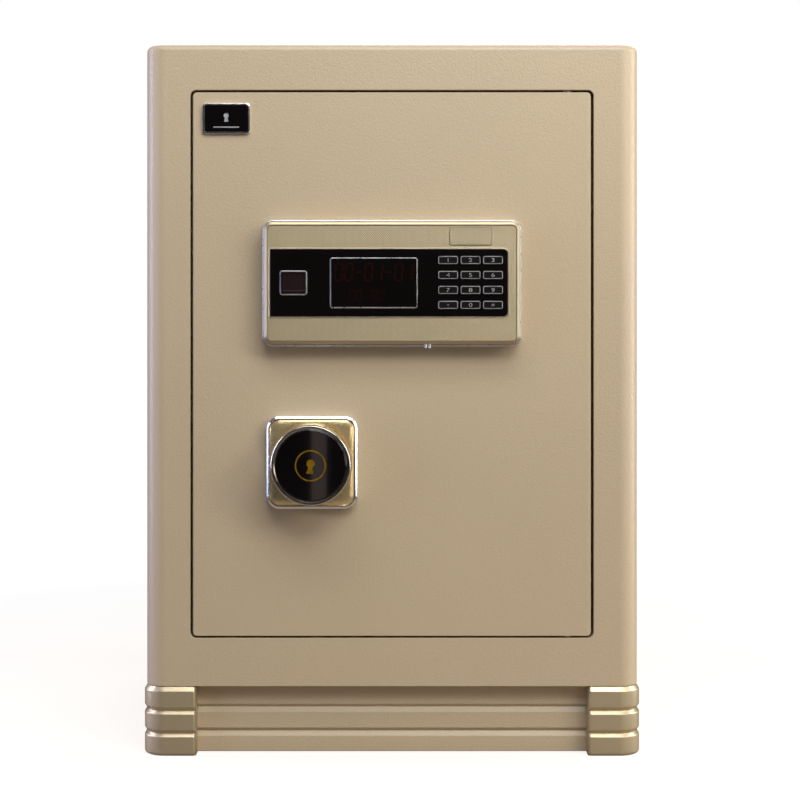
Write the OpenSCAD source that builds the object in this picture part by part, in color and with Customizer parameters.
// Free-standing steel safe on a ribbed plinth, with a fingerprint and keypad lock, a round knob
// and sliding bolts. Millimetres, +Z up, front towards -Y. The origin is under the middle of the
// whole object, on the floor. At rest the door is shut and its bolts are drawn back.

/* [Cabinet] */
// Width of the cabinet over its painted sides
body_w = 420; // [410:1:430]
// Height of the cabinet above the plinth
body_h = 545; // [540:1:560]
// Depth of the cabinet
body_d = 380; // [370:1:400]
// Thickness of the outer steel shell
shell_t = 3; // [2.5:0.5:3]
// Thickness of the mineral filling in the walls
fill_t = 14; // [13:1:15]
// Thickness of the inner steel liner
liner_t = 2; // [1.5:0.5:2]
// Plan radius of the two front vertical edges
edge_r = 17; // [14:1:19]
// Radius of the top edge
top_r = 5; // [3:0.5:6]
// Diameter of the holes for the anchor bolts
anchor_d = 12; // [10:1:14]
// Spacing of the anchor holes across the cabinet
anchor_across = 260; // [220:10:280]
// Spacing of the floor anchor holes from front to back
anchor_along = 200; // [160:10:220]
// Height of the wall anchor holes above the floor
anchor_rise = 500; // [440:10:520]

/* [Plinth] */
// Height of the plinth
plinth_h = 59; // [56:1:62]
// How far the skirt stands back from the cabinet's face
skirt_recess = 14; // [12:1:16]
// Gap between the skirt and the floor
skirt_lift = 0.5; // [0.5:0.5:3]
// Width of a corner foot
foot_w = 45.5; // [40:0.5:50]
// How far a foot stands out past the cabinet
foot_out = 2; // [1:0.5:3]
// Depth of the grooves in the skirt and the feet
groove_d = 2.6; // [2:0.1:3]

/* [Door] */
// Width of the door leaf
door_w = 338.6; // [334:0.2:342]
// Height of the door leaf
door_h = 461.4; // [456:0.2:464]
// Gap round the door leaf
door_gap = 2; // [1.8:0.1:2.4]
// Height of the door leaf above the cabinet's underside
door_rise = 43; // [41:1:45]
// Thickness of the door's front plate
plate_t = 6; // [5:0.5:6]
// Depth of the bolt box behind the front plate
box_d = 57; // [55:1:60]
// How far the hinge axis lies inside the leaf's right edge
hinge_in = 20; // [18:1:22]
// How far the hinge axis lies behind the front face
hinge_back = 10; // [10:0.5:10.5]

/* [Bolt work] */
// Diameter of the bolts
bolt_d = 20; // [18:1:20]
// Travel of the bolts
bolt_throw = 17; // [14:1:17]
// Smallest radius of the cam's spiral slots
cam_r0 = 24; // [22:1:25]
// Diameter of the pins that run in the cam's slots
cam_pin_d = 8; // [6:1:8]
// Travel of the solenoid's plunger
plunger_travel = 6; // [4:0.5:6]

/* [Lock panel] */
// Width of the panel over its bright rim
panel_w = 220; // [214:1:224]
// Height of the panel over its bright rim
panel_h = 107.4; // [104:0.2:110]
// How far the panel stands out from the door
panel_out = 19; // [17:0.5:20]
// Height of the panel's middle above the floor
panel_z = 401.4; // [398:0.2:405]
// Width of a key
key_w = 16.4; // [15:0.2:17]
// Height of a key
key_h = 6.5; // [6:0.1:7.5]
// Spacing of the keys across
key_pitch_x = 18.8; // [18.2:0.1:19.4]
// Spacing of the key rows
key_pitch_z = 12.53; // [11:0.01:13]
// Travel of a key
key_travel = 1; // [0.6:0.1:1]

/* [Knob] */
// Diameter of the knob
knob_d = 67.5; // [60:0.5:70]
// How far the knob stands out from the door
knob_out = 38; // [34:1:42]
// Place of the knob's axis across the door
knob_x = -67.5; // [-70:0.5:-64]
// Height of the knob's axis above the floor
knob_z = 249.8; // [246:0.2:254]
// Width of the square escutcheon
escutcheon_w = 77; // [74:0.5:80]
// Height of the square escutcheon
escutcheon_h = 78.5; // [74:0.5:80]

/* [Hidden] */
$fn = 64;

paint = "#bca98c";
gold = "#a8926c";
chrome = "#d9dadc";
steel = "#9aa0a6";
black = "#101012";

// Cabinet places
half_w = body_w / 2;
front_y = -(body_d + knob_out) / 2 + knob_out;
back_y = front_y + body_d;
body_z = plinth_h;
body_top = body_z + body_h;
wall_t = shell_t + fill_t + liner_t;
room_x = half_w - wall_t;
room_low = body_z + wall_t;
room_top = body_top - wall_t;
room_back = back_y - wall_t;
anchor_y = 40;

// Door places: the leaf, the hole it shuts and the jamb behind that
leaf_r = 4;
door_z0 = body_z + door_rise;
door_z1 = door_z0 + door_h;
door_mid = (door_z0 + door_z1) / 2;
hole_w = door_w + 2 * door_gap;
hole_h = door_h + 2 * door_gap;
hole_r = leaf_r + door_gap / 2;
jamb_t = 3;
jamb_back = front_y + 25;
hinge_x = door_w / 2 - hinge_in;
hinge_y = front_y + hinge_back;
pin_r = 4;
bush_r = 6;
bush_len = 16;
running = 0.05;

// Bolt box behind the leaf
plate_back = front_y + plate_t;
box_back = plate_back + box_d;
box_t = 2;
box_left = -door_w / 2 + 9.3;
box_right = hinge_x - 13.3;
box_z0 = door_z0 + 10;
box_z1 = door_z1 - 10;
cover_t = 1.5;

// Bolts
bolt_r = bolt_d / 2;
bolt_y = jamb_back + 2 + bolt_r;
bolt_show = 6;
bolt_tip = box_left - bolt_show;
bar_t = 4;
bar_y = bolt_y - bar_t / 2;
guide_r = bolt_r + 2;
carriage_x = box_left + 26;
carriage_w = 38;
carriage_z0 = 171;
carriage_z1 = 497;
bolt_rows = [190, 334.5, 479];
fixed_rows = [200, 465];
fixed_tip = room_x - 8;

// Cam on the knob's shaft
cam_pin_r = cam_pin_d / 2;
cam_slot_r = cam_pin_r + 0.3;
cam_r = cam_r0 + bolt_throw + cam_slot_r + 4.7;
cam_t = 4;
cam_y = bar_y - 2 - cam_t;
shaft_r = 6;
shaft_square = 9;
sheet_t = 2;
lock_plate_y = cam_y - 6 - sheet_t;
stud_r = 3;
slot_r = 3.3;
carriage_studs = [230, 440];
stud_x = carriage_x + 12;
top_stud_z = 400;
low_stud_z = 190;

// Solenoid: with the bolts thrown, its plunger rises just behind the carriage's flange
plunger_r = 3;
plunger_x = carriage_x - bolt_throw + bar_t + plunger_r + 0.6;
plunger_tip = carriage_z0 - 1;
solenoid_top = plunger_tip - 14;
solenoid_h = 34;
collar_z = plunger_tip - 7;

// Panel layers, from the door outwards
rim_t = 3.5;
panel_face = front_y - panel_out;
face_w = 207.5;
face_h = 95.4;
face_wall = 4;
strip_w = 199.5;
strip_h = 56.6;
strip_x = -2.55;
glass_t = 2.5;
window_z = panel_z;
finger_x = -82.7;
screen_x = -15.3;
key_x0 = 47;
key_z0 = panel_z + 19.1;
cover_x = 65.8;
cover_z = panel_z + 38.8;
cover_w = 35;
cover_h = 14.6;
board_y = panel_face + 9;
board_t = 1.6;
lock_r = 6;
plug_r = 4;
contact_xs = [28.4, 31.8];
contact_y = front_y - 7;
contact_r = 1.1;

// Battery box on the door's inner cover
battery_x = 60;
battery_z = 300;
battery_w = 66;
battery_h = 64;
cell_r = 7.1;
cell_h = 50;

// ---------- helpers ----------

// A plate lying in the XZ plane, from y to y + t
module slab_y(y, t) translate([0, y + t, 0]) rotate([90, 0, 0]) linear_extrude(t) children();

// A rectangle with round corners about the origin
module round_rect(w, h, r) {
    square([w - 2 * r, h], center = true);
    square([w, h - 2 * r], center = true);
    for (x = [-1, 1], y = [-1, 1]) translate([x * (w / 2 - r), y * (h / 2 - r)]) circle(r);
}

// A slot with round ends between two points on one line along X or Z
module slot2(x0, z0, x1, z1, r) {
    translate([x0, z0]) circle(r);
    translate([x1, z1]) circle(r);
    if (x0 == x1) translate([x0 - r, min(z0, z1)]) square([2 * r, abs(z1 - z0)]);
    else translate([min(x0, x1), z0 - r]) square([abs(x1 - x0), 2 * r]);
}

module rod_x(x0, x1, y, z, r) translate([x0, y, z]) rotate([0, 90, 0]) cylinder(r = r, h = x1 - x0);
module rod_y(x, y0, y1, z, r) translate([x, y1, z]) rotate([90, 0, 0]) cylinder(r = r, h = y1 - y0);
module rod_z(x, y, z0, z1, r) translate([x, y, z0]) cylinder(r = r, h = z1 - z0);
module block(low, high) translate(low) cube(high - low);

// ---------- cabinet ----------

// Plan of the cabinet, pulled in by inset, from its front to the line y = back
module body_plan(inset, back) {
    w = half_w - inset;
    r = edge_r - inset;
    front = front_y + inset;
    translate([-w, front + r]) square([2 * w, back - front - r]);
    translate([-(w - r), front]) square([2 * (w - r), r]);
    for (s = [-1, 1]) translate([s * (w - r), front + r]) circle(r);
}

// What a rounded top edge leaves out of a square one, its centre at the origin
module edge_waste() difference() {
    square(top_r + 1);
    circle(top_r);
}

// The cabinet's outer form, with its front and side top edges rounded
module body_form() difference() {
    x0 = half_w - edge_r;
    y0 = front_y + edge_r;
    translate([0, 0, body_z]) linear_extrude(body_h) body_plan(0, back_y);
    translate([0, 0, body_top - top_r]) {
        translate([-x0, front_y + top_r, 0]) rotate([90, 0, -90]) mirror([0, 0, 1]) linear_extrude(2 * x0)
            edge_waste();
        for (s = [0, 1]) mirror([s, 0, 0]) {
            translate([half_w - top_r, back_y + 1, 0]) rotate([90, 0, 0])
                linear_extrude(back_y + 1 - y0) edge_waste();
            translate([x0, y0, 0]) rotate([0, 0, -90]) rotate_extrude(angle = 90)
                translate([edge_r - top_r, 0]) edge_waste();
        }
    }
}

// Anchor bolt holes through the floor and the back wall
module anchor_holes(r) {
    for (x = [-1, 1]) {
        rod_y(x * anchor_across / 2, room_back - 5, back_y + 5, anchor_rise, r);
        for (y = [-1, 1])
            rod_z(x * anchor_across / 2, anchor_y + y * anchor_along / 2, body_z - 5, room_low + 5, r);
    }
}

module door_hole(grow) translate([0, door_mid]) round_rect(hole_w + 2 * grow, hole_h + 2 * grow, hole_r + grow);

module cabinet_shell() color(paint) difference() {
    body_form();
    translate([0, 0, body_z + shell_t]) linear_extrude(body_h - 2 * shell_t) body_plan(shell_t, back_y + 1);
    slab_y(front_y - 1, shell_t + 2) door_hole(0);
    anchor_holes(anchor_d / 2);
}

module back_panel() color(paint) difference() {
    block([-half_w + shell_t, back_y - shell_t, body_z + shell_t], [half_w - shell_t, back_y, body_top - shell_t]);
    anchor_holes(anchor_d / 2);
}

module bush_holes(r) for (z = [door_z1 + door_gap, door_z0 - door_gap - bush_len])
    rod_z(hinge_x, hinge_y, z, z + bush_len, r);

module door_jamb() color(paint) difference() {
    union() {
        slab_y(front_y + shell_t, jamb_back - front_y - shell_t) door_hole(jamb_t);
        block([-room_x - liner_t, jamb_back - jamb_t, room_low - liner_t],
            [room_x + liner_t, jamb_back, room_top + liner_t]);
    }
    slab_y(front_y, jamb_back - front_y + 1) door_hole(0);
    bush_holes(bush_r);
}

module wall_fill() color("#c9c6bd") difference() {
    translate([0, 0, body_z + shell_t]) linear_extrude(body_h - 2 * shell_t)
        body_plan(shell_t, back_y - shell_t);
    block([-room_x - liner_t, jamb_back - jamb_t, room_low - liner_t],
        [room_x + liner_t, room_back + liner_t, room_top + liner_t]);
    slab_y(front_y, jamb_back - front_y) door_hole(jamb_t);
    bush_holes(bush_r);
    anchor_holes(anchor_d / 2);
}

// Five sheets bonded to the filling, with a narrow seam along each corner
seam = 0.1;
module inner_liner() color("#8b8378") difference() {
    x = room_x - seam;
    union() {
        for (s = [-1, 1]) translate([s * (room_x + liner_t / 2), 0, 0])
            block([-liner_t / 2, jamb_back, room_low - liner_t],
                [liner_t / 2, room_back + liner_t, room_top + liner_t]);
        for (z = [room_low - liner_t, room_top])
            block([-x, jamb_back, z], [x, room_back + liner_t, z + liner_t]);
        block([-x, room_back, room_low + seam], [x, room_back + liner_t, room_top - seam]);
    }
    anchor_holes(anchor_d / 2);
}

module floor_mat() color("#5d5147") difference() {
    block([-room_x + 3, jamb_back + 6, room_low], [room_x - 3, room_back - 3, room_low + 2]);
    anchor_holes(anchor_d / 2 + 5);
}

// ---------- shelf ----------

shelf_z = 305;
shelf_y0 = -88;
shelf_lip = 18;
shelf_x = room_x - 3;
clip_ys = [shelf_y0 + 35, room_back - 40];

module shelf() color("#8b8378") {
    block([-shelf_x, shelf_y0, shelf_z], [shelf_x, room_back - 4, shelf_z + 1.5]);
    block([-shelf_x, shelf_y0, shelf_z - shelf_lip], [shelf_x, shelf_y0 + 1.5, shelf_z]);
    block([-shelf_x, room_back - 5.5, shelf_z - shelf_lip], [shelf_x, room_back - 4, shelf_z]);
}

// Angle clips riveted to the side walls, under the shelf
module shelf_clips() color(steel) for (s = [-1, 1], y = clip_ys) {
    translate([s * room_x - (s > 0 ? sheet_t : 0), y - 12, shelf_z - 20]) cube([sheet_t, 24, 20]);
    translate([s * (room_x - 8) - 8, y - 12, shelf_z - sheet_t]) cube([16, 24, sheet_t]);
    rod_x(s * (room_x - 3) - 1, s * (room_x - 3) + 1, y, shelf_z - 12, 3);
}

// ---------- plinth ----------

// One groove of a ribbed face: out is the face, z is the valley's height
function groove(out, z) = [[out, z - 4.4], [out - groove_d, z], [out, z + 2.6]];
skirt_valleys = [18, 38.4];
foot_valleys = [19.7, 39];

// Section of the skirt sheet, its face at 0
function skirt_edge(shift) = concat([[shift, skirt_lift]],
    [for (z = skirt_valleys) for (p = groove(0, z)) [p[0] + shift, p[1]]], [[shift, plinth_h]]);
function reversed(v) = [for (i = [len(v) - 1 : -1 : 0]) v[i]];
module skirt_section() {
    polygon(concat(skirt_edge(0), reversed(skirt_edge(-sheet_t))));
    translate([-14, plinth_h - sheet_t]) square([14, sheet_t]);
}

// A section drawn outwards and upwards, run along one side of the plinth
module run_along(half_length) rotate([90, 0, 0]) translate([0, 0, -half_length])
    linear_extrude(2 * half_length) children();

module plinth_skirt() color(paint) {
    side_x = half_w - skirt_recess;
    side_y = (body_d - foot_out) / 2 - skirt_recess;
    mid_y = front_y + skirt_recess + side_y;
    for (a = [0, 180]) translate([0, mid_y, 0]) {
        rotate([0, 0, a]) translate([side_x, 0, 0]) run_along(side_y) skirt_section();
        rotate([0, 0, a + 90]) translate([side_y, 0, 0]) run_along(side_x) skirt_section();
    }
}

// Section of a foot's outer wall, its face at 0 and its back at -depth
module foot_section(depth) {
    bevel_in = 2.6;
    bevel_h = 5;
    toe = 3;
    difference() {
        polygon(concat([[-depth, 0], [0, 0]], [for (z = foot_valleys) for (p = groove(0, z)) p],
            [[0, plinth_h - bevel_h], [-bevel_in, plinth_h], [-depth, plinth_h]]));
        difference() {
            translate([-toe, -1]) square([toe + 1, toe + 1]);
            translate([-toe, toe]) circle(toe);
        }
    }
}

// A foot cover for the corner at +X, +Y of its own frame, the corner's point at the origin
module foot() {
    r = edge_r + foot_out;
    depth = skirt_recess + foot_out - 0.2;
    corner_room = 1.3;
    translate([-r, -r, 0]) {
        rotate_extrude(angle = 90) translate([r, 0]) foot_section(depth - corner_room);
        translate([0, -(foot_w - r) / 2, 0]) translate([r, 0, 0]) run_along((foot_w - r) / 2)
            foot_section(depth);
        translate([-(foot_w - r) / 2, r, 0]) rotate([0, 0, 90]) run_along((foot_w - r) / 2)
            foot_section(depth);
    }
}

module corner_feet() color(gold) {
    x = half_w + foot_out;
    y0 = front_y - foot_out;
    for (s = [0, 1]) mirror([s, 0, 0]) {
        translate([x, y0, 0]) mirror([0, 1, 0]) foot();
        translate([x, back_y, 0]) foot();
    }
}

// ---------- hinge ----------

module hinge_bushes() color("#c8a44a") difference() {
    bush_holes(bush_r);
    for (z = [door_z1 + door_gap - 1, door_z0 - door_gap - bush_len - 1])
        rod_z(hinge_x, hinge_y, z, z + bush_len + 2, pin_r + running);
}

pin_in = 28;
pin_end = bush_len - 2;
module hinge_pins() color(steel) {
    rod_z(hinge_x, hinge_y, door_z1 - pin_in, door_z1 + door_gap + pin_end, pin_r);
    rod_z(hinge_x, hinge_y, door_z0 - door_gap - pin_end, door_z0 + pin_in, pin_r);
}

// ---------- door ----------

// Plan of the leaf: its front edges rounded, more on the hinge side so that it clears the frame
module leaf_plan() {
    hinge_r = 3;
    free_r = 1.5;
    x = door_w / 2;
    translate([-x, front_y + hinge_r]) square([door_w, plate_t - hinge_r]);
    translate([-x, front_y + free_r]) square([10, plate_t - free_r]);
    translate([-x + free_r, front_y]) square([door_w - free_r - hinge_r, plate_t]);
    translate([-x + free_r, front_y + free_r]) circle(free_r);
    translate([x - hinge_r, front_y + hinge_r]) circle(hinge_r);
}

loom_x = 0;
loom_z = 372;
loom_y = plate_back + 8;
loom_r = 2.2;
lock_plate_x = [-150, -22];
lock_plate_z = [118, 505];

module door_plate() color(paint) difference() {
    union() {
        intersection() {
            translate([0, 0, door_z0 - 1]) linear_extrude(door_h + 2) leaf_plan();
            slab_y(front_y - 1, plate_t + 2) translate([0, door_mid]) round_rect(door_w, door_h, leaf_r);
        }
        for (z = [door_z0 + 1, door_z1 - pin_in - 2])
            block([hinge_x - 9, plate_back, z], [hinge_x + 9, plate_back + 14, z + pin_in + 1]);
    }
    for (z = [door_z0 - 1, door_z1 - pin_in]) rod_z(hinge_x, hinge_y, z, z + pin_in + 1, pin_r);
    rod_y(knob_x, front_y - 1, plate_back + 1, knob_z, shaft_r + 1);
    rod_y(cover_x, front_y - 1, plate_back + 1, cover_z, lock_r + 0.2);
    rod_y(loom_x, front_y - 1, plate_back + 1, loom_z, 6);
}

module box_outline(inset) translate([box_left + inset, box_z0 + inset])
    square([box_right - box_left - 2 * inset, box_z1 - box_z0 - 2 * inset]);

// The screws of the inner cover, along the box's rear flange
screw_xs = [box_left + 8, (box_left + box_right) / 2, box_right - 8];
screw_zs = [box_z0 + 8, door_mid, box_z1 - 8];
screw_at = [for (x = screw_xs, z = screw_zs) if (x != screw_xs[1] || z != screw_zs[1]) [x, z]];

module bolt_ways(r) {
    for (z = bolt_rows) rod_x(box_left - 3, box_left + 6, bolt_y, z, r);
    rod_z(knob_x, bolt_y, box_z1 - 6, box_z1 + 3, r);
    rod_z(knob_x, bolt_y, box_z0 - 3, box_z0 + 6, r);
}

module door_box() color(steel) difference() {
    slab_y(plate_back, box_d) box_outline(0);
    slab_y(plate_back - 1, box_d - sheet_t + 1) box_outline(box_t);
    slab_y(box_back - sheet_t - 1, sheet_t + 2) box_outline(16);
    bolt_ways(guide_r);
    for (z = fixed_rows) rod_x(box_right - 5, box_right + 1, bolt_y, z, 5);
    for (p = screw_at) rod_y(p[0], box_back - sheet_t - 1, box_back + 1, p[1], 2);
}

module door_back_cover() color("#3a3a3c") difference() {
    slab_y(box_back, cover_t) box_outline(0);
    for (p = screw_at) rod_y(p[0], box_back - 1, box_back + cover_t + 1, p[1], 2);
    slab_y(box_back - 1, cover_t + 2) translate([battery_x, battery_z]) square([battery_w, battery_h], center = true);
}

module cover_screws() color(chrome) for (p = screw_at) difference() {
    union() {
        rod_y(p[0], box_back - 6, box_back + cover_t, p[1], 2);
        rod_y(p[0], box_back + cover_t, box_back + cover_t + 2.2, p[1], 4);
    }
    for (s = [[6, 1], [1, 6]]) translate([p[0] - s[0] / 2, box_back + cover_t + 1.2, p[1] - s[1] / 2])
        cube([s[0], 2, s[1]]);
}

// Fixed dogs on the hinge side, each with a spigot and a nut inside the box
module fixed_bars() color(chrome) for (z = fixed_rows) {
    rod_x(box_right, fixed_tip - 2, bolt_y, z, bolt_r);
    translate([fixed_tip - 2, bolt_y, z]) rotate([0, 90, 0]) cylinder(r1 = bolt_r, r2 = bolt_r - 2, h = 2);
    rod_x(box_right - 12, box_right, bolt_y, z, 5);
    translate([box_right - 10, bolt_y, z]) rotate([0, 90, 0]) cylinder(r = 9, h = 8, $fn = 6);
}

module guide_ring() difference() {
    union() {
        translate([0, 0, -2]) cylinder(r = guide_r, h = 7);
        translate([0, 0, box_t]) cylinder(r = guide_r + 2, h = 3);
    }
    translate([0, 0, -3]) cylinder(r = bolt_r + running, h = 9);
}

module bolt_guides() color("#c8a44a") {
    for (z = bolt_rows) translate([box_left, bolt_y, z]) rotate([0, 90, 0]) guide_ring();
    translate([knob_x, bolt_y, box_z1]) rotate([180, 0, 0]) guide_ring();
    translate([knob_x, bolt_y, box_z0]) guide_ring();
}

// ---------- bolt work ----------

module lock_plate() color(steel) {
    difference() {
        slab_y(lock_plate_y, sheet_t) translate([lock_plate_x[0], lock_plate_z[0]])
            square([lock_plate_x[1] - lock_plate_x[0], lock_plate_z[1] - lock_plate_z[0]]);
        rod_y(knob_x, lock_plate_y - 1, lock_plate_y + 3, knob_z, shaft_r + running);
        rod_y(plunger_x, lock_plate_y - 1, lock_plate_y + 3, 140, 4);
    }
    for (x = [lock_plate_x[0] + 10, lock_plate_x[1] - 10], z = [lock_plate_z[0] + 14, lock_plate_z[1] - 14])
        rod_y(x, plate_back, lock_plate_y, z, 5);
    for (z = carriage_studs) guide_stud(stud_x, z);
    guide_stud(knob_x, top_stud_z);
    guide_stud(knob_x, low_stud_z);
}

// A headed stud that a sliding bar runs on
module guide_stud(x, z) {
    rod_y(x, lock_plate_y + sheet_t, bar_y + bar_t + 0.5, z, stud_r);
    rod_y(x, bar_y + bar_t + 0.5, bar_y + bar_t + 2.5, z, stud_r + 3);
}

// Outline of a spiral slot that starts at angle a with radius cam_r0 and falls back by 90 degrees
function spiral_r(u) = cam_r0 + bolt_throw * u;
function spiral_at(a, u, side) = let (t = a - 90 * u, r = spiral_r(u), k = bolt_throw / (PI / 2),
    n = sqrt(r * r + k * k), cu = -k / n, cr = r / n)
    [cos(t) * (r + side * cr) + sin(t) * side * cu, sin(t) * (r + side * cr) - cos(t) * side * cu];
spiral_steps = 24;
module spiral_slot(a) {
    polygon(concat([for (i = [0 : spiral_steps]) spiral_at(a, i / spiral_steps, cam_slot_r)],
        [for (i = [spiral_steps : -1 : 0]) spiral_at(a, i / spiral_steps, -cam_slot_r)]));
    for (u = [0, 1]) translate(spiral_at(a, u, 0)) circle(cam_slot_r - 0.06);
}

module bolt_cam() color(steel) difference() {
    union() {
        slab_y(cam_y, cam_t) translate([knob_x, knob_z]) circle(cam_r);
        rod_y(knob_x, lock_plate_y + sheet_t, cam_y, knob_z, 10);
    }
    slab_y(cam_y - 1, cam_t + 2) translate([knob_x, knob_z]) for (a = [90, 180, 270]) spiral_slot(a);
    slab_y(lock_plate_y, cam_t + 10) translate([knob_x, knob_z]) square(shaft_square, center = true);
}

module cam_pin(x, z) rod_y(x, cam_y - 0.5, bar_y, z, cam_pin_r);

// Carriage plate with the flange that the live bolts are welded to. The flange reaches lower than
// the plate, so that the raised plunger stands in its way and clear of the plate.
module bolt_carriage() color(steel) {
    low = plunger_tip + plunger_travel + 3;
    slab_y(bar_y, bar_t) difference() {
        union() {
            translate([carriage_x, low]) square([carriage_w, carriage_z1 - low]);
            translate([carriage_x, knob_z - 9]) square([knob_x - cam_r0 + 8 - carriage_x, 18]);
        }
        for (z = carriage_studs) slot2(stud_x, z, stud_x + bolt_throw, z, slot_r);
    }
    cam_pin(knob_x - cam_r0, knob_z);
    block([carriage_x, bolt_y - 12, carriage_z0], [carriage_x + bar_t, bolt_y + 12, carriage_z1]);
}

// Round bolts with a crowned tip, drawn along +Z from 0 to length
module bolt_round(length) {
    cylinder(r = bolt_r, h = length - 2);
    translate([0, 0, length - 2]) cylinder(r1 = bolt_r, r2 = bolt_r - 2, h = 2);
}

module live_bolts() color(chrome) for (z = bolt_rows)
    translate([carriage_x, bolt_y, z]) rotate([0, -90, 0]) bolt_round(carriage_x - bolt_tip);

module top_bolt() color(chrome) {
    z0 = knob_z + cam_r0 - 9;
    z1 = box_z1 - 34;
    slab_y(bar_y, bar_t) difference() {
        translate([knob_x - 11, z0]) square([22, z1 - z0 + 4]);
        slot2(knob_x, top_stud_z - bolt_throw, knob_x, top_stud_z, slot_r);
    }
    cam_pin(knob_x, knob_z + cam_r0);
    translate([knob_x, bolt_y, z1]) bolt_round(box_z1 + bolt_show - z1);
}

module bottom_bolt() color(chrome) {
    z0 = box_z0 + 34;
    z1 = knob_z - cam_r0 + 9;
    slab_y(bar_y, bar_t) difference() {
        translate([knob_x - 11, z0 - 4]) square([22, z1 - z0 + 4]);
        slot2(knob_x, low_stud_z, knob_x, low_stud_z + bolt_throw, slot_r);
    }
    cam_pin(knob_x, knob_z - cam_r0);
    translate([knob_x, bolt_y, z0]) rotate([180, 0, 0]) bolt_round(z0 - box_z0 + bolt_show);
}

module solenoid() color("#3b3f45") {
    low = solenoid_top - solenoid_h;
    difference() {
        block([plunger_x - 14, lock_plate_y + sheet_t, low], [plunger_x + 14, bolt_y + 13, solenoid_top]);
        rod_z(plunger_x, bolt_y, low - 1, solenoid_top + 1, plunger_r + running);
    }
}

module plunger() color(chrome) {
    rod_z(plunger_x, bolt_y, solenoid_top - solenoid_h + 4, plunger_tip, plunger_r);
    rod_z(plunger_x, bolt_y, collar_z, collar_z + 1.5, 5.5);
}

// A wire coil: rings of points round the wire, swept up a helix
coil_turns = 4;
coil_sides = 8;
coil_steps = 16 * coil_turns;
module coil(r, wire, height) {
    rise = height - 2 * wire;
    points = [for (i = [0 : coil_steps], j = [0 : coil_sides - 1])
        let (t = 360 * coil_turns * i / coil_steps, u = 360 * j / coil_sides, q = r + wire * cos(u))
        [q * cos(t), q * sin(t), wire + rise * i / coil_steps + wire * sin(u)]];
    walls = [for (i = [0 : coil_steps - 1], j = [0 : coil_sides - 1])
        let (a = i * coil_sides + j, b = i * coil_sides + (j + 1) % coil_sides)
        [a, a + coil_sides, b + coil_sides, b]];
    low_cap = [for (j = [0 : coil_sides - 1]) j];
    high_cap = [for (j = [coil_sides - 1 : -1 : 0]) coil_steps * coil_sides + j];
    polyhedron(points, concat(walls, [low_cap], [high_cap]));
}

module plunger_spring() color(chrome)
    translate([plunger_x, bolt_y, solenoid_top]) coil(4.4, 0.55, collar_z - solenoid_top);

// ---------- badge ----------

badge_x = -140.5;
badge_z = 541;
module badge_frame() color(chrome) slab_y(front_y - 3, 3) translate([badge_x, badge_z]) difference() {
    round_rect(40.5, 26.2, 3.5);
    round_rect(36.9, 22.6, 2);
}
module badge_face() color(black) slab_y(front_y - 2.2, 2.2) translate([badge_x, badge_z])
    round_rect(36.9, 22.6, 2);

// ---------- lock panel ----------

module panel_trim() color(chrome) slab_y(front_y - rim_t, rim_t) translate([0, panel_z]) difference() {
    round_rect(panel_w, panel_h, 9.5);
    round_rect(panel_w - 3.6, panel_h - 3.6, 7.7);
}

module strip_outline(grow) translate([strip_x, panel_z]) {
    w = strip_w / 2 + grow;
    h = strip_h / 2 + grow;
    r = 4 + grow;
    translate([-w, -h]) square([2 * w - r, 2 * h]);
    translate([-w, -h + r]) square([2 * w, 2 * h - 2 * r]);
    for (z = [-1, 1]) translate([w - r, z * (h - r)]) circle(r);
}

key_cols = [0, 1, 2];
key_rows = [0, 1, 2, 3];
module key_windows(grow) for (c = key_cols, r = key_rows)
    translate([key_x0 + c * key_pitch_x, key_z0 - r * key_pitch_z])
        round_rect(key_w + 2 * grow, key_h + 2 * grow, 1.4);

module panel_housing() color(gold) {
    outer_w = panel_w - 3.6;
    outer_h = panel_h - 3.6;
    difference() {
        hull() {
            slab_y(front_y - rim_t, rim_t) translate([0, panel_z]) round_rect(outer_w, outer_h, 7.7, $fn = 48);
            slab_y(panel_face, 1) translate([0, panel_z]) round_rect(face_w, face_h, 4.5, $fn = 48);
        }
        slab_y(panel_face + face_wall, panel_out) translate([0, panel_z]) round_rect(face_w - 7, face_h - 7, 3);
        slab_y(panel_face - 1, glass_t + 1) strip_outline(0);
        slab_y(panel_face, face_wall + 1) strip_outline(-2.5);
        slab_y(panel_face - 1, 3.2) translate([cover_x, cover_z]) round_rect(cover_w + 0.6, cover_h + 0.6, 1.8);
        rod_y(cover_x, panel_face, panel_face + face_wall + 1, cover_z, 5);
        rod_y(cover_x, panel_face + face_wall, front_y + 1, cover_z, lock_r + 0.2);
        for (x = contact_xs) rod_z(x, contact_y, panel_z - 56, panel_z - 40, contact_r + 0.05);
    }
    for (x = [-92, 92], z = [-1, 1]) rod_y(x, panel_face + face_wall, board_y, panel_z + z * 34, 3);
}

module panel_glass() color(black) slab_y(panel_face, glass_t) difference() {
    strip_outline(-0.1);
    translate([finger_x, window_z]) round_rect(20.2, 17.8, 1);
    key_windows(0.3);
}

module window_frames() color(chrome) slab_y(panel_face - 0.8, 0.8) {
    translate([finger_x, window_z]) difference() {
        round_rect(23, 20.6, 2);
        round_rect(20.2, 17.8, 1);
    }
    translate([screen_x, window_z]) difference() {
        round_rect(73.6, 42.5, 2);
        round_rect(70.4, 39.3, 1);
    }
}

module fingerprint_sensor() color("#1d1314") {
    slab_y(panel_face + 0.8, 4) translate([finger_x, window_z]) round_rect(19.8, 17.4, 0.8);
    slab_y(panel_face + 4.8, 4.2) translate([finger_x, window_z]) square([24, 22], center = true);
}

module display_module() color("#202326") {
    slab_y(panel_face + glass_t + 0.1, 1.8) translate([screen_x, window_z]) square([70, 39], center = true);
    slab_y(panel_face + glass_t + 1.9, board_y - panel_face - glass_t - 1.9)
        translate([screen_x, window_z]) square([76, 44], center = true);
}

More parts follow.
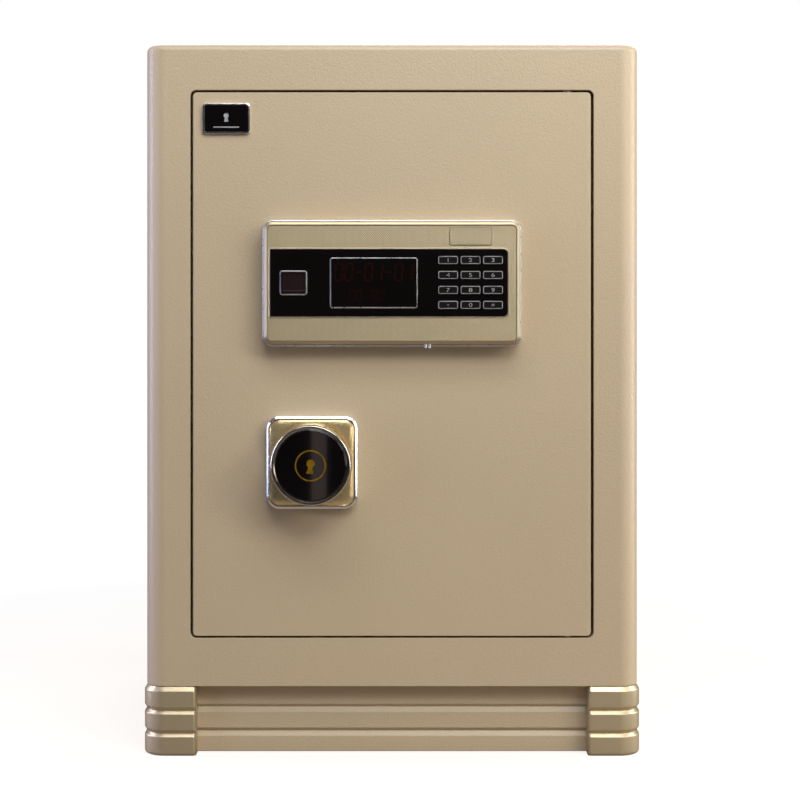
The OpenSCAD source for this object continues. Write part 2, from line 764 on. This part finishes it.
// Circuit board with a dome switch behind each key
module control_board() color("#1f5a3a") {
    slab_y(board_y, board_t) difference() {
        translate([0, panel_z]) square([192, 74], center = true);
        translate([cover_x, cover_z]) circle(lock_r + 1);
    }
    for (c = key_cols, r = key_rows)
        rod_y(key_x0 + c * key_pitch_x, board_y - 1.4, board_y, key_z0 - r * key_pitch_z, 2.5);
    slab_y(board_y + board_t, 3) translate([-40, panel_z - 10]) square([14, 14], center = true);
}

// A key: its cap stands through the glass, its stem reaches the dome switch
module key_cap(col, row) color(black) {
    x = key_x0 + col * key_pitch_x;
    z = key_z0 - row * key_pitch_z;
    slab_y(panel_face - 1.4, 5) translate([x, z]) round_rect(key_w, key_h, 1.2);
    rod_y(x, panel_face + 3.6, board_y - 1.4 - key_travel - 0.1, z, 2.2);
}

module service_cover() color(gold) difference() {
    slab_y(panel_face + 0.2, 1.8) translate([cover_x, cover_z]) round_rect(cover_w, cover_h, 1.5);
    for (i = [-5 : 5], z = [-1, 1])
        rod_y(cover_x + 3 * i, panel_face, panel_face + 0.9, cover_z + z * 5.6, 0.5);
}

plug_front = panel_face + face_wall;
plug_back = plate_back + 15;
module override_lock() color(chrome) {
    difference() {
        rod_y(cover_x, plug_front, plug_back - 2, cover_z, lock_r);
        rod_y(cover_x, plug_front - 1, plug_back, cover_z, plug_r + running);
    }
    difference() {
        translate([cover_x, plate_back + 4, cover_z]) rotate([90, 0, 0]) cylinder(r = 9.5, h = 4, $fn = 6);
        rod_y(cover_x, plate_back - 1, plate_back + 5, cover_z, lock_r);
    }
}

module override_plug() color("#c8a44a") {
    difference() {
        rod_y(cover_x, plug_front, plug_back, cover_z, plug_r);
        block([cover_x - 0.7, plug_front - 1, cover_z - 2.8], [cover_x + 0.7, plug_front + 14, cover_z + 2.8]);
    }
    slab_y(plug_back, 2) slot2(cover_x, cover_z - 16, cover_x, cover_z, 5);
}

// Two contacts under the panel for an outside battery
module power_contacts() color(chrome) for (x = contact_xs)
    rod_z(x, contact_y, panel_z - 55, panel_z - 46, contact_r);

// ---------- knob ----------

module escutcheon() color(gold) {
    edge = 2.3;
    t = 10;
    difference() {
        union() {
            slab_y(front_y - t + edge, t - edge) translate([knob_x, knob_z])
                round_rect(escutcheon_w, escutcheon_h, 11);
            hull() {
                slab_y(front_y - t + edge, 0.1) translate([knob_x, knob_z])
                    round_rect(escutcheon_w, escutcheon_h, 11, $fn = 48);
                slab_y(front_y - t, 0.1) translate([knob_x, knob_z])
                    round_rect(escutcheon_w - 2 * edge, escutcheon_h - 2 * edge, 8.7, $fn = 48);
            }
        }
        translate([knob_x, front_y - t - 0.01, knob_z]) rotate([-90, 0, 0])
            cylinder(r1 = 35.6, r2 = 24, h = 3);
        rod_y(knob_x, front_y - t - 1, front_y + 1, knob_z, shaft_r + running);
    }
}

knob_r = knob_d / 2;
knob_base = front_y - 7.4;
knob_front = front_y - knob_out;
disc_r = 30;

// The knob's half section: radius outwards, height from the door outwards
module knob_section() {
    h = knob_out - 7.4;
    translate([shaft_r, 0]) square([20 - shaft_r, 4]);
    difference() {
        polygon([[shaft_r, 4], [24, 4], [knob_r - 4.5, 9], [knob_r - 1, 12], [knob_r, 14.5], [knob_r, h - 5],
            [knob_r - 1, h - 2.4], [knob_r - 2.2, h - 1.2], [disc_r, h - 1.2], [disc_r, h - 4],
            [shaft_r, h - 4]]);
        translate([0, h - 12]) square([shaft_r + 6, 5]);
    }
}

module knob_turned() translate([knob_x, knob_base, knob_z]) rotate([90, 0, 0]) rotate_extrude() children();

module knob_ring() color(chrome) knob_turned() knob_section();

// Black disc with a low crown, let into the knob's front
module knob_disc() color(black) knob_turned() {
    h = knob_out - 7.4;
    polygon([[0, h - 4], [disc_r, h - 4], [disc_r, h - 1.4], [disc_r - 4, h - 0.6], [12, h], [0, h]]);
}

module knob_shaft() color(steel) {
    rod_y(knob_x, knob_front + 16, cam_y - 6, knob_z, shaft_r);
    slab_y(cam_y - 6, 6 + cam_t) translate([knob_x, knob_z]) square(shaft_square, center = true);
    rod_y(knob_x, cam_y + cam_t, cam_y + cam_t + 8, knob_z, 4);
    translate([knob_x, cam_y + cam_t + 6, knob_z]) rotate([90, 0, 0]) cylinder(r = 7.5, h = 6, $fn = 6);
}

// ---------- power ----------

battery_front = box_back - 20;

module battery_box() color("#26282b") difference() {
    union() {
        slab_y(battery_front, 20 + cover_t) translate([battery_x, battery_z])
            square([battery_w, battery_h], center = true);
        slab_y(box_back + cover_t, 1) translate([battery_x, battery_z])
            square([battery_w + 8, battery_h + 8], center = true);
    }
    slab_y(battery_front + 2, 30) translate([battery_x, battery_z])
        square([battery_w - 4, battery_h - 4], center = true);
}

module batteries() color("#b98b3c") for (i = [-1.5 : 1 : 1.5]) {
    x = battery_x + i * 15.2;
    y = battery_front + 2.4 + cell_r;
    rod_z(x, y, battery_z - cell_h / 2, battery_z + cell_h / 2 - 1, cell_r);
    rod_z(x, y, battery_z + cell_h / 2 - 1, battery_z + cell_h / 2, 2.7);
}

module battery_lid() color("#26282b") {
    slab_y(box_back + cover_t + 1, 2) translate([battery_x, battery_z])
        square([battery_w + 6, battery_h + 6], center = true);
    for (i = [0 : 3]) slab_y(box_back + cover_t + 3, 0.8) translate([battery_x, battery_z - 26 + 4 * i])
        square([30, 1.5], center = true);
}

// Leads from the board through the door to the solenoid, and from the battery box
module wire_loom() color("#222222") {
    drop_z = 140;
    rod_y(loom_x, board_y + board_t, loom_y, loom_z, loom_r);
    rod_z(loom_x, loom_y, drop_z, loom_z, loom_r);
    rod_x(plunger_x, loom_x, loom_y, drop_z, loom_r);
    rod_y(plunger_x, loom_y, lock_plate_y + sheet_t, drop_z, loom_r);
    rod_x(loom_x, battery_x, loom_y, battery_z, loom_r);
    rod_y(battery_x, loom_y, battery_front, battery_z, loom_r);
    for (p = [[loom_x, loom_z], [loom_x, drop_z], [plunger_x, drop_z], [battery_x, battery_z]])
        translate([p[0], loom_y, p[1]]) sphere(loom_r);
}

cabinet_shell();
back_panel();
door_jamb();
wall_fill();
inner_liner();
floor_mat();
shelf_clips();
plinth_skirt();
corner_feet();
hinge_bushes();
shelf();
door_plate();
door_box();
door_back_cover();
cover_screws();
hinge_pins();
fixed_bars();
bolt_guides();
lock_plate();
badge_frame();
badge_face();
panel_trim();
panel_housing();
panel_glass();
window_frames();
fingerprint_sensor();
display_module();
control_board();
override_lock();
power_contacts();
escutcheon();
solenoid();
battery_box();
batteries();
wire_loom();
knob_ring();
knob_disc();
knob_shaft();
bolt_cam();
bolt_carriage();
live_bolts();
top_bolt();
bottom_bolt();
plunger();
plunger_spring();
service_cover();
override_plug();
battery_lid();
key_cap(0, 0);  // key_1
key_cap(1, 0);  // key_2
key_cap(2, 0);  // key_3
key_cap(0, 1);  // key_4
key_cap(1, 1);  // key_5
key_cap(2, 1);  // key_6
key_cap(0, 2);  // key_7
key_cap(1, 2);  // key_8
key_cap(2, 2);  // key_9
key_cap(0, 3);  // key_star
key_cap(1, 3);  // key_0
key_cap(2, 3);  // key_hash
